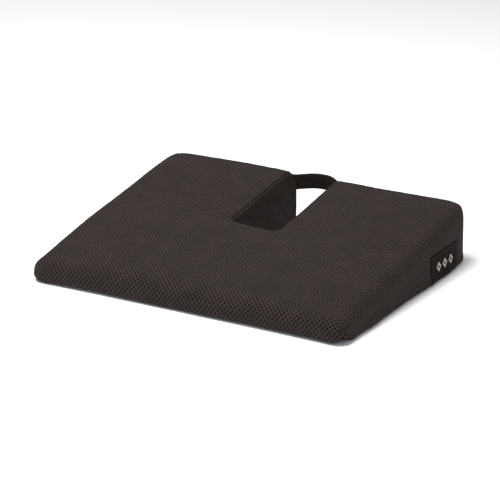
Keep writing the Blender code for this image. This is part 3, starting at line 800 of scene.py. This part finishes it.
def woven(name, light, dark, pitch_mm, roughness=0.75, depth_mm=0.15):
    """Cloth or thread of crossing yarns, pitch_mm apart, that stand out by depth_mm."""
    made, tree, shader = principled(name, Roughness=roughness, Specular_IOR_Level=0.25)
    where = add_node(tree, "TexCoord")
    waves = []
    for axis in "XYZ":
        turn = add_node(tree, "TexWave", {"bands_direction": axis}, Vector=where.outputs["Object"],
                        Scale=pi / (10 * pitch_mm * MM), Distortion=0.4, Detail=1.0)
        waves.append(turn.outputs["Fac"])
    pair = add_node(tree, "Math", ADD, i0=waves[0], i1=waves[1])
    three = add_node(tree, "Math", ADD, i0=pair, i1=waves[2])
    tone = add_node(tree, "MapRange", Value=three, From_Min=0.6, From_Max=2.4)
    dyed(tree, shader, tone, linear(dark), linear(light), three, depth_mm * MM, 0.6)
    return made


def grip_cloth():
    """Anti-slip cloth: a plain dark weave with small soft rubber dots printed on it."""
    made, tree, shader = principled("anti-slip dot cloth", Specular_IOR_Level=0.3)
    cloth = add_node(tree, "UVMap", CLOTH)
    parts = add_node(tree, "SeparateXYZ", Vector=cloth)
    waves = [ripple(tree, parts.outputs[axis], DOT_PITCH, "COSINE") for axis in "XY"]
    both = add_node(tree, "Math", ADD, i0=waves[0], i1=waves[1])
    dot = add_node(tree, "MapRange", SMOOTH, Value=both, From_Min=0.9, From_Max=1.3)
    gloss = add_node(tree, "MapRange", Value=dot, To_Min=0.85, To_Max=0.5)
    tree.links.new(gloss.outputs[0], shader.inputs["Roughness"])
    dyed(tree, shader, dot, linear("1d1a19"), linear("0b0b0c"), dot, 0.4 * MM, 0.8)
    return made


def foam_cells(name, light, dark, cell_mm):
    """Polyurethane foam, slab-cut: open cells that give it a fine, even pitting."""
    made, tree, shader = principled(name, Roughness=0.9, Specular_IOR_Level=0.2)
    where = add_node(tree, "TexCoord")
    cells = add_node(tree, "TexVoronoi", Vector=where.outputs["Object"], Scale=1 / (cell_mm * MM))
    dyed(tree, shader, cells, linear(dark), linear(light), cells, 0.4 * MM, 0.6)
    return made


def cast_metal():
    """Zinc alloy, die-cast and plated black nickel: smooth, with faint rubbed patches."""
    made, tree, shader = principled("black nickel zinc alloy", Metallic=1.0)
    where = add_node(tree, "TexCoord")
    rubbed = add_node(tree, "TexNoise", Vector=where.outputs["Object"], Scale=400.0, Detail=4.0)
    colour = add_node(tree, "Mix", TWO_COLOURS, i0=rubbed, i6=linear("3a3b3e"), i7=linear("77787c"))
    tree.links.new(colour.outputs[2], shader.inputs["Base Color"])
    gloss = add_node(tree, "MapRange", Value=rubbed, To_Min=0.24, To_Max=0.42)
    tree.links.new(gloss.outputs[0], shader.inputs["Roughness"])
    return made


def label_satin(length, height):
    """Damask-woven satin: close warp floats with a low sheen, a faint edge line all round and three
    plain lozenges in pale grey weft."""
    made, tree, shader = principled("woven label satin", Roughness=0.7, Specular_IOR_Level=0.05)
    cloth = add_node(tree, "UVMap", CLOTH)
    parts = add_node(tree, "SeparateXYZ", Vector=cloth)
    from_middle, from_edge = {}, {}
    for axis, size in (("X", length), ("Y", height)):
        offset = add_node(tree, "Math", SUBTRACT, i0=parts.outputs[axis], i1=size / 2)
        from_middle[axis] = add_node(tree, "Math", {"operation": "ABSOLUTE"}, i0=offset)
        from_edge[axis] = add_node(tree, "Math", SUBTRACT, i0=size / 2, i1=from_middle[axis])
    rim = add_node(tree, "Math", {"operation": "MINIMUM"}, i0=from_edge["X"], i1=from_edge["Y"])
    line = add_node(tree, "Math", COMPARE, i0=rim, i1=2.6 * MM, i2=0.45 * MM)
    wave = add_node(tree, "Math", {"operation": "PINGPONG"}, i0=from_middle["X"], i1=LOZENGE_PITCH / 2)
    slant = add_node(tree, "Math", ADD, i0=wave, i1=from_middle["Y"])
    net = add_node(tree, "Math", COMPARE, i0=slant, i1=LOZENGE_PITCH * 0.27, i2=LOZENGE_PITCH * 0.1)
    inside = add_node(tree, "Math", {"operation": "LESS_THAN"}, i0=from_middle["X"],
                      i1=LOZENGE_PITCH * 1.5)
    lozenges = add_node(tree, "Math", MULTIPLY, i0=net, i1=inside)
    ground = add_node(tree, "Mix", TWO_COLOURS, i0=line, i6=linear("120c0a"), i7=linear("2a2320"))
    weft = ripple(tree, parts.outputs["Y"], 0.9 * MM, "SINE")
    raised = add_node(tree, "Math", ADD, i0=lozenges, i1=line)
    relief = add_node(tree, "Math", MULTIPLY_ADD, i0=weft, i1=0.25, i2=raised)
    dyed(tree, shader, lozenges, ground.outputs[2], linear("a9a5a0"), relief, 0.2 * MM, 0.6)
    return made


def webbing_material():
    """Woven polyester webbing: flat ribs across the strap in a herringbone of fine yarn."""
    made, tree, shader = principled("polyester webbing", Roughness=0.75, Specular_IOR_Level=0.2)
    cloth = add_node(tree, "UVMap", CLOTH)
    parts = add_node(tree, "SeparateXYZ", Vector=cloth)
    rib = ripple(tree, parts.outputs["X"], 1.5 * MM, "SINE")
    cord = ripple(tree, parts.outputs["Y"], 2.4 * MM, "SINE")
    both = add_node(tree, "Math", MULTIPLY_ADD, i0=cord, i1=0.5, i2=rib)
    tone = add_node(tree, "MapRange", Value=both, From_Min=-1.5, From_Max=1.5)
    dyed(tree, shader, tone, linear("0b0807"), linear("201915"), both, 0.25 * MM, 0.7)
    return made


# ---------------------------------------------------------------- cover

def make_cover():
    """The five cloth panels, the foam inside them, and the outer skin for pieces that lie on it."""
    shell = sewn_shell()
    points, normals, quads, panels, uvs = mesh_arrays(shell.data)
    bpy.data.objects.remove(shell)
    make_foam(points, normals, quads)
    points, seam = seam_dip(points, normals, quads, panels)
    points[:, 2] = np.maximum(points[:, 2], 0.1 * MM)
    arrays = points, normals, quads, panels, uvs
    # Painted shade: the side bands' and the cut-out boxing's yarn is a little darker than the top's yarn,
    # for the shade that falls on them.
    side = spacer_mesh("spacer mesh, side, painted shade", "2e2523")
    looks = {
        "cover_top_panel": (spacer_mesh("spacer mesh, top", "302827", SHEET_LENGTH - NOSE_CLOTH),
                            "spacer_mesh"),
        "cover_side_band_right": (side, "side_mesh"),
        "cover_cutout_boxing": (spacer_mesh("spacer mesh, boxing, painted shade", "2d2521"), "boxing_mesh"),
        "cover_side_band_left": (side, "side_mesh"),
        "cover_bottom_panel": (grip_cloth(), "grip_fabric"),
    }
    for number, name in enumerate(PANELS):
        piece = panel_piece(name + "_cloth", number, arrays, seam)
        surface, slot = looks[name]
        place(piece, "cushion", surface, (name,))
    return BVHTree.FromPolygons([Vector(p) for p in points], [tuple(q) for q in quads])


def make_foam(points, normals, quads):
    """Two foam slabs, one on the other, that fill the cover and are rounded as it is."""
    core = points - normals * FOAM_INSET
    core[:, 2] = np.maximum(core[:, 2], FOAM_OFF_FLOOR)
    narrower = 7 * MM * smooth_step(core[:, 1], FRONT_Y + 60 * MM, FRONT_Y + 25 * MM)
    widest = HALF_WIDTH - 5 * MM - narrower
    core[:, 0] = np.clip(core[:, 0], -widest, widest)
    zip_front = np.array((0, tape_front_low.y, tape_front_high.z))
    zip_rear = np.array((0, tape_rear_high.y, tape_rear_low.z))
    over_zip = np.cross(zip_rear - zip_front, (1, 0, 0))
    over_zip /= np.linalg.norm(over_zip)
    past = np.maximum((core - (zip_front + zip_rear) / 2) @ over_zip + FOAM_OFF_ZIP, 0)
    core -= over_zip * past[:, None]
    slope = atan2(REAR_HEIGHT - FRONT_HEIGHT, REAR_Y - FRONT_Y)
    up = Vector((0, -sin(slope), cos(slope)))
    cut = Vector((0, REAR_Y, REAR_HEIGHT)) - up * TOPPER_THICKNESS
    looks = {
        "foam_base": (foam_cells("high-density seat foam", "c9c2ae", "8f8874", 1.2), "firm_foam", 1),
        "foam_topper": (foam_cells("viscoelastic foam", "e2ded4", "b5b0a4", 0.8), "memory_foam", -1),
    }
    for name, (surface, slot, side) in looks.items():
        block = new_object(name + "_block", core, [tuple(q) for q in quads])
        part = bmesh.new()
        part.from_mesh(block.data)
        bmesh.ops.holes_fill(part, edges=[e for e in part.edges if e.is_boundary], sides=0)
        everything = part.verts[:] + part.edges[:] + part.faces[:]
        found = bmesh.ops.bisect_plane(part, geom=everything, plane_co=cut - up * side * 0.15 * MM,
                                       plane_no=up * side, clear_outer=True)
        rim = [e for e in found["geom_cut"] if isinstance(e, bmesh.types.BMEdge)]
        bmesh.ops.contextual_create(part, geom=rim)
        caps = [f for f in part.faces if len(f.verts) > 8]
        bmesh.ops.triangulate(part, faces=caps, ngon_method="EAR_CLIP")
        bmesh.ops.recalc_face_normals(part, faces=part.faces[:])
        part.to_mesh(block.data)
        part.free()
        place(block, "cushion", surface, (name,))


# ---------------------------------------------------------------- handle

def running_lengths(path):
    """Lengths along a path of points, from its start to each of them."""
    lengths = [0]
    for a, b in zip(path, path[1:]):
        lengths.append(lengths[-1] + (b - a).length)
    return lengths


def tube_faces(base, rings, sides):
    """Faces of a closed tube made of rings of points, the first of them being point number base."""
    faces = []
    for ring in range(rings - 1):
        low = base + ring * sides
        for c in range(sides):
            d = (c + 1) % sides
            faces.append((low + c, low + sides + c, low + sides + d, low + d))
    faces.append(tuple(base + c for c in range(sides)))
    faces.append(tuple(base + rings * sides - 1 - c for c in range(sides)))
    return faces


def band(name, path, width):
    """A webbing strap on edge: path holds its middle line, and its width stands along Z."""
    ring = []
    for side in (-1, 1):
        for t in np.linspace(1, -1, 7):
            half = WEBBING_THICKNESS / 2 * (1 - 0.45 * abs(t) ** 6)
            ring.append((-side * t * width / 2, side * half))
    path = [Vector(p) for p in path]
    points = []
    for k, p in enumerate(path):
        run = (path[min(k + 1, len(path) - 1)] - path[max(k - 1, 0)]).normalized()
        out = UP.cross(run).normalized()
        points += [p + out * t + UP * w for w, t in ring]
    faces = tube_faces(0, len(path), len(ring))
    lengths = running_lengths(path)
    uvs = [(lengths[v // len(ring)], ring[v % len(ring)][0]) for face in faces for v in face]
    return new_object(name, points, faces, uvs)


def on_skin(tree, start, way, lift):
    """The point on the cushion's skin that is hit from start, and lifted off it."""
    hit = tree.ray_cast(Vector(start), Vector(way))
    return hit[0] - Vector(way) * lift if hit[0] else None


def thread_run(points, path):
    """Add stitches, each a short raised capsule, along a path of points; returns their faces."""
    faces = []
    lengths = running_lengths(path)
    total = lengths[-1]
    count = max(1, round(total / STITCH_LENGTH))
    for n in range(count):
        first, last = (Vector([np.interp((n + share) * total / count, lengths, places)
                               for places in zip(*path)]) for share in (0.08, 0.92))
        run = (last - first).normalized()
        side = run.cross(Vector((0.1, 0.7, 0.3))).normalized()
        other = run.cross(side)
        base = len(points)
        for share, swell in ((0, 0.35), (0.15, 0.9), (0.5, 1.15), (0.85, 0.9), (1, 0.35)):
            centre = first.lerp(last, share)
            for turn in np.arange(6) * pi / 3:
                points.append(centre + (side * cos(turn) + other * sin(turn)) * THREAD_RADIUS * swell)
        faces += tube_faces(base, 5, 6)
    return faces


def reach_from_middle(node):
    """The least and greatest distance of a CAD node's box from the middle plane."""
    return sorted(abs(corner.x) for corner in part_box(node))


def make_handle(tree):
    """The webbing loop across the back: two sewn ends, a free strap and box-and-cross stitching."""
    low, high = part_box("handle_strap")
    middle, width = (low.z + high.z) / 2, high.z - low.z
    surface = webbing_material()
    thread = woven("polyester sewing thread", "4a423d", "1c1816", 0.5, 0.6, 0.1)
    bow = high.y - low.y - WEBBING_THICKNESS - 0.4 * MM
    sewn_y = {}
    for side, label in SIDES:
        end, stitching = "handle_end_" + label, "handle_stitching_" + label
        path = []
        for x in side * np.linspace(*reach_from_middle(end), 25):
            flat = side * max(abs(x), HALF_CUTOUT + LOBE_CORNER + 3 * MM)
            off = WEBBING_THICKNESS / 2 + 0.25 * MM
            path.append((x, on_skin(tree, (flat, 0.3, middle), (0, -1, 0), off).y, middle))
        piece = band(end + "_webbing", path[::side], width)
        place(piece, "cushion", surface, (end,))

        near, far = reach_from_middle(stitching)
        bottom, top = (corner.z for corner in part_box(stitching))
        box = [(near, bottom), (far, bottom), (far, top), (near, top), (near, bottom)]
        runs = [*zip(box, box[1:]), (box[0], box[2]), (box[3], box[1])]
        points, faces = [], []
        for start, stop in runs:
            line = []
            for x, z in np.linspace(start, stop, 9):
                y = np.interp(x, [abs(p[0]) for p in path], [p[1] for p in path])
                line.append(Vector((side * x, y + WEBBING_THICKNESS / 2 + 0.12 * MM, z)))
            faces += thread_run(points, line)
        piece = new_object(stitching + "_thread", points, faces)
        place(piece, "cushion", thread, (stitching,))

        sewn_y[side] = path[0][1]

    for side, label in SIDES:
        path = []
        for t in np.linspace(0, 1, 29):
            y = sewn_y[side] + bow * (1 - (1 - t) ** 2) ** 1.5
            path.append((side * high.x * (1 - t), y, middle + 0.6 * MM * sin(pi * t)))
        piece = band("handle_strap_" + label, path[::-side], width)
        piece.data.materials.append(surface)
        piece.data.shade_smooth()
        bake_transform(piece)
        if side > 0:
            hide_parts("handle_strap")


# ---------------------------------------------------------------- label and zip

def slab(name, outer, inner, cloth):
    """Thick cloth: an outer and an inner grid of points, closed round their rim. cloth holds the
    cloth coordinates of the grid's points."""
    rows, columns = outer.shape[:2]
    top, under = np.arange(2 * rows * columns).reshape(2, rows, columns)
    faces = []
    for a in range(rows - 1):
        for b in range(columns - 1):
            faces.append((top[a, b], top[a + 1, b], top[a + 1, b + 1], top[a, b + 1]))
            faces.append((under[a, b + 1], under[a + 1, b + 1], under[a + 1, b], under[a, b]))
    rim = [(a, 0) for a in range(rows - 1)] + [(rows - 1, b) for b in range(columns - 1)]
    rim += [(rows - 1 - a, columns - 1 - b) for a, b in rim]
    for here, there in zip(rim, rim[1:] + rim[:1]):
        faces.append((under[here], under[there], top[there], top[here]))
    coords = cloth.reshape(-1, 2)
    uvs = [coords[v % len(coords)] for face in faces for v in face]
    points = np.concatenate([outer.reshape(-1, 3), inner.reshape(-1, 3)])
    return new_object(name, points, [[int(v) for v in face] for face in faces], uvs)


def make_label(tree):
    """The woven label on the right side, lying on the cloth with its lower edge in the seam."""
    low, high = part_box("side_label")
    low.y -= LABEL_FORWARD
    high.y -= LABEL_SHORTER
    ys, zs = np.linspace(low.y, high.y, 45), np.linspace(low.z, high.z, 20)
    outer, inner = np.zeros((2, len(ys), len(zs), 3))
    for grid, lift in ((outer, 0.75 * MM), (inner, 0.15 * MM)):
        for a, y in enumerate(ys):
            for b, z in enumerate(zs):
                grid[a, b] = on_skin(tree, (0.4, y, z), (-1, 0, 0), lift)
    cloth = np.stack(np.meshgrid(ys - low.y, zs - low.z, indexing="ij"), -1)
    piece = slab("side_label_satin", outer, inner, cloth)
    place(piece, "cushion", label_satin(high.y - low.y, high.z - low.z), ("side_label",))


def strip_between(name, front, rear):
    """A flat tape between two lines of points, front and rear, with its outer face downward."""
    shares = (0, 0.1, 0.5, 0.9, 1)
    outer, inner = np.zeros((2, len(shares), len(front), 3))
    for i, (a, b) in enumerate(zip(front, rear)):
        run = b - a
        out = Vector((0, run.z, -run.y)).normalized()
        out = out if out.z < 0 else -out
        for j, share in enumerate(shares):
            half = TAPE_THICKNESS * (0.2 if share in (0, 1) else 0.5)
            outer[j, i] = a + run * share + out * half
            inner[j, i] = a + run * share - out * half
    cloth = np.stack(np.meshgrid([p.x for p in front], np.multiply(shares, 12 * MM)), -1)
    return slab(name, outer, inner, cloth)


def make_zip():
    """Zip under the front edge: two tapes, two rows of coil, and the metal slider, pull and stops."""
    tape = woven("polyester zip tape", "221f1d", "0e0c0c", 0.8)
    nylon = woven("moulded nylon coil", "1c1a1a", "141212", 0.4, 0.4, 0.03)
    metal = cast_metal()
    middles = {part: sum(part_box("zip_coil_" + part), Vector()) / 2 for part in ("front", "rear")}
    chain = (middles["front"] + middles["rear"]) / 2
    rearward = (middles["rear"] - middles["front"]).normalized()
    out = rearward.cross(Vector((1, 0, 0)))
    for part, way in (("front", -1), ("rear", 1)):
        low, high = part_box("zip_tape_" + part)
        sewn_y, sewn_z = (low.y, high.z - 0.3 * MM) if way < 0 else (high.y, low.z + 0.4 * MM)
        reach = min(high.x, HALF_WIDTH - 2 * MM)
        sewn, at_coil = [], []
        for x in np.linspace(-reach, reach, 90):
            wave = 0.15 * MM * noise.noise(Vector((x * 30, 0, 1.5 + way / 2)))
            sewn.append(Vector((x, sewn_y, sewn_z + wave)))
            at_coil.append(chain + Vector((x, way * 0.1 * MM, 0)) - out * TAPE_BEHIND_COIL)
        name = "zip_tape_" + part
        piece = strip_between(name + "_cloth", *(sewn, at_coil)[::-way])
        place(piece, "cushion", tape, (name,))
    for part, way in (("front", -1), ("rear", 1)):
        low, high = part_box("zip_coil_" + part)
        count = int((high.x - low.x) / TOOTH_PITCH)
        points, faces = [], []
        for n in range(count):
            x = low.x + (n + 0.5 - 0.25 * way) * (high.x - low.x) / count
            base = len(points)
            for lift, shrink in ((-0.55, 0.8), (-0.3, 1), (0.5, 1), (0.75, 0.7)):
                for along, wide in TOOTH_OUTLINE:
                    across = Vector((x + wide * shrink * MM, 0, 0))
                    inward = rearward * (-way * along * MM)
                    points.append(middles[part] + across + inward + out * (lift * MM))
            faces += tube_faces(base, 4, len(TOOTH_OUTLINE))
        piece = new_object("zip_coil_" + part + "_teeth", points, faces)
        teeth = bmesh.new()
        teeth.from_mesh(piece.data)
        bmesh.ops.recalc_face_normals(teeth, faces=teeth.faces[:])
        teeth.to_mesh(piece.data)
        teeth.free()
        place(piece, "cushion", nylon, ("zip_coil_" + part,))
    for name in ("zip_slider", "zip_pull_tab", "zip_stop_closed_end", "zip_stop_open_end"):
        for held in bpy.data.objects[name].material_slots:
            held.material = metal


# ---------------------------------------------------------------- room

def make_room():
    """A white room with a paper floor, a large key light above the front and a weak fill."""
    scene = bpy.context.scene
    scene.view_settings.view_transform = "Standard"
    world = bpy.data.worlds.new("studio")
    scene.world = world
    world.use_nodes = True
    world.node_tree.nodes["Background"].inputs["Color"].default_value = (1, 1, 1, 1)
    world.node_tree.nodes["Background"].inputs["Strength"].default_value = 0.45

    floor = new_object("floor", [(-6, -6, 0), (6, -6, 0), (6, 6, 0), (-6, 6, 0)], [(0, 1, 2, 3)])
    paper, _, shader = principled("paper backdrop", Roughness=0.9)
    shader.inputs["Base Color"].default_value = linear("ffffff")
    floor.data.materials.append(paper)

    def softbox(name, at, aim, size, power):
        lamp = bpy.data.lights.new(name, "AREA")
        lamp.shape = "DISK"
        lamp.size = size
        lamp.energy = power
        made = bpy.data.objects.new(name, lamp)
        made.location = at
        made.rotation_euler = (Vector(aim) - Vector(at)).to_track_quat("-Z", "Y").to_euler()
        scene.collection.objects.link(made)

    softbox("key", (-0.35, -0.55, 2.0), (0, 0, 0), 1.3, 58)
    softbox("fill", (1.3, -1.2, 0.9), (0, 0, 0), 1.0, 6)


def make_camera():
    """A long lens well back, a third of the way round to the right and a little above."""
    azimuth, elevation, distance = radians(30), radians(19.7), 2.788
    lens = bpy.data.cameras.new("camera")
    lens.lens = 151.9
    lens.sensor_width = 36
    lens.clip_start = 0.05
    camera = bpy.data.objects.new("camera", lens)
    aim = Vector((-0.0018, (FRONT_Y + REAR_Y) / 2, 0.0288))
    back = Vector((sin(azimuth) * cos(elevation), -cos(azimuth) * cos(elevation), sin(elevation)))
    camera.location = aim + back * distance
    camera.rotation_euler = (-back).to_track_quat("-Z", "Y").to_euler()
    bpy.context.scene.collection.objects.link(camera)
    bpy.context.scene.camera = camera


make_camera()
make_room()
skin = make_cover()
make_handle(skin)
make_label(skin)
make_zip()
